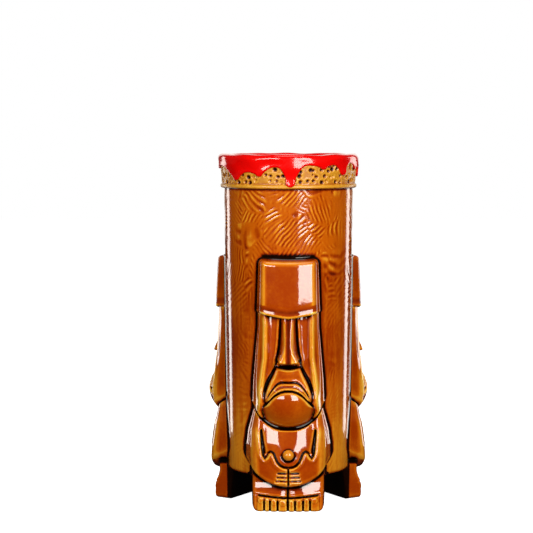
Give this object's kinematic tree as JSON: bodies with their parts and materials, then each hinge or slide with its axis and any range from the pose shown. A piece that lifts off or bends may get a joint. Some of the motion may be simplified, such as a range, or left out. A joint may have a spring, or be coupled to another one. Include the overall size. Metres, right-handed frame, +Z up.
{
  "type": "footed tiki mug",
  "caption": "Tall glazed ceramic tiki mug: a round cup with a pitted rim band and dripping red glaze, carried on the feet of carved standing figures.",
  "frame": {"origin": "on the cup's axis, level with the soles of the feet that the mug stands on", "axes": "+Z up along the cup's axis to the mouth; the front figure faces -Y and +X is to the right of someone who looks at its face"},
  "size_m": [0.0834, 0.0828, 0.185],
  "materials": {
    "amber_glaze": "glossy",
    "pumice_glaze": "glossy",
    "red_glaze": "glossy"
  },
  "bodies": {
    "root": {"cup_wall": "amber_glaze", "cup_floor": "amber_glaze", "pumice_band": "pumice_glaze", "red_glaze": "red_glaze", "front_brow": "amber_glaze", "front_face": "amber_glaze", "front_nose": "amber_glaze", "front_chin": "amber_glaze", "front_torso": "amber_glaze", "front_navel": "amber_glaze", "front_feet": "amber_glaze", "left_brow": "amber_glaze", "left_face": "amber_glaze", "left_nose": "amber_glaze", "left_chin": "amber_glaze", "left_torso": "amber_glaze", "left_navel": "amber_glaze", "left_feet": "amber_glaze", "right_brow": "amber_glaze", "right_face": "amber_glaze", "right_nose": "amber_glaze", "right_chin": "amber_glaze", "right_torso": "amber_glaze", "right_navel": "amber_glaze", "right_feet": "amber_glaze"}
  },
  "joints": []
}
